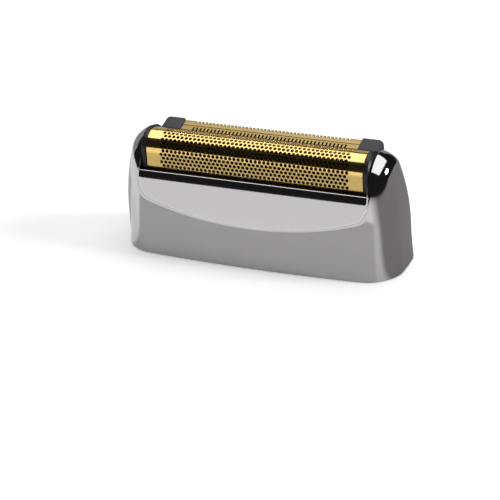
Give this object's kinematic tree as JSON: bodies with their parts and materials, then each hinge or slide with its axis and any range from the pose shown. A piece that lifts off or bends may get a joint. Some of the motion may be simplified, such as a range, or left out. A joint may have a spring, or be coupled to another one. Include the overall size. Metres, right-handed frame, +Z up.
{
  "type": "shaver foil head",
  "caption": "Chromed shaver head with an arched perforated foil in front and a slotted trimmer with a sliding blade behind it, open below for the shaver's body.",
  "frame": {"origin": "centre of the base", "axes": "+X along the head, -Y to the front with the foil, +Z up through the cheeks"},
  "size_m": [0.0654, 0.0218, 0.0275],
  "materials": {
    "dark_chrome": "polished",
    "black_plastic": "satin",
    "gold_foil": "polished",
    "gold_comb": "satin",
    "blade_steel": "ground",
    "driver_plastic": "satin",
    "block_plastic": "matt",
    "spring_steel": "rolled"
  },
  "bodies": {
    "head": {"housing": "dark_chrome", "foil_frame": "black_plastic", "foil": "gold_foil", "foil_end_plate_left": "black_plastic", "foil_end_plate_right": "black_plastic", "trimmer_comb": "gold_comb", "trimmer_block_left": "block_plastic", "trimmer_block_right": "block_plastic", "trimmer_spring_left": "spring_steel", "trimmer_spring_right": "spring_steel"},
    "trimmer_cutter": {"trimmer_blade": "blade_steel", "trimmer_driver": "driver_plastic"}
  },
  "joints": [
    {"name": "trimmer_slide", "type": "slide", "parent": "head", "child": "trimmer_cutter", "axis": [1, 0, 0], "range_m": [-0.001, 0.001]}
  ]
}
